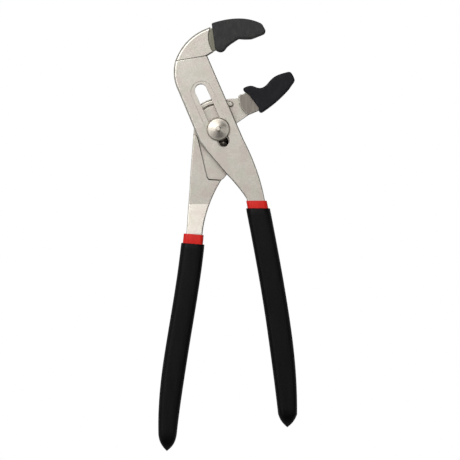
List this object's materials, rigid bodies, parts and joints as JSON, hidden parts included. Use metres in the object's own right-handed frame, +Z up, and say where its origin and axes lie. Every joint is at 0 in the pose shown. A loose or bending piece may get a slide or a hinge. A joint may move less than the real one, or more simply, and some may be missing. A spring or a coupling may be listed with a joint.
{
  "type": "running pliers",
  "caption": "Slip-joint running pliers with a slotted front lever, grooved positions, rubber-booted jaws and long dipped handles.",
  "frame": {"origin": "on the pivot bolt's axis, at the flat end of the bolt, where the tool lies on its back", "axes": "+Z up along the pivot bolt, +Y towards the jaws, -Y along the handles, +X towards the side that the jaws point to"},
  "size_m": [0.0819, 0.2552, 0.0163],
  "materials": {
    "satin_nickel_steel": "satin nickel plate over ground steel",
    "bolt_steel": "turned and plated",
    "washer_steel": "zinc plated",
    "grey_rubber": "matt",
    "black_rubber": "matt",
    "red_dip": "satin vinyl dip",
    "black_dip": "satin vinyl dip"
  },
  "bodies": {
    "front": {"front_lever": "satin_nickel_steel", "upper_jaw_boot": "grey_rubber", "right_undercoat": "red_dip", "right_grip": "black_dip"},
    "pivot": {"pivot_bolt": "bolt_steel", "pivot_washer": "washer_steel", "pivot_nut": "bolt_steel"},
    "rear": {"rear_lever": "satin_nickel_steel", "lower_jaw_boot": "black_rubber", "left_undercoat": "red_dip", "left_grip": "black_dip"}
  },
  "joints": [
    {"name": "groove_slide", "type": "slide", "parent": "front", "child": "pivot", "axis": [-0.4067, 0.9135, 0], "range_m": [-0.005, 0.025]},
    {"name": "jaw_hinge", "type": "hinge", "parent": "pivot", "child": "rear", "pos_m": [0, 0, 0], "axis": [0, 0, 1], "range_deg": [-35, 0]}
  ]
}
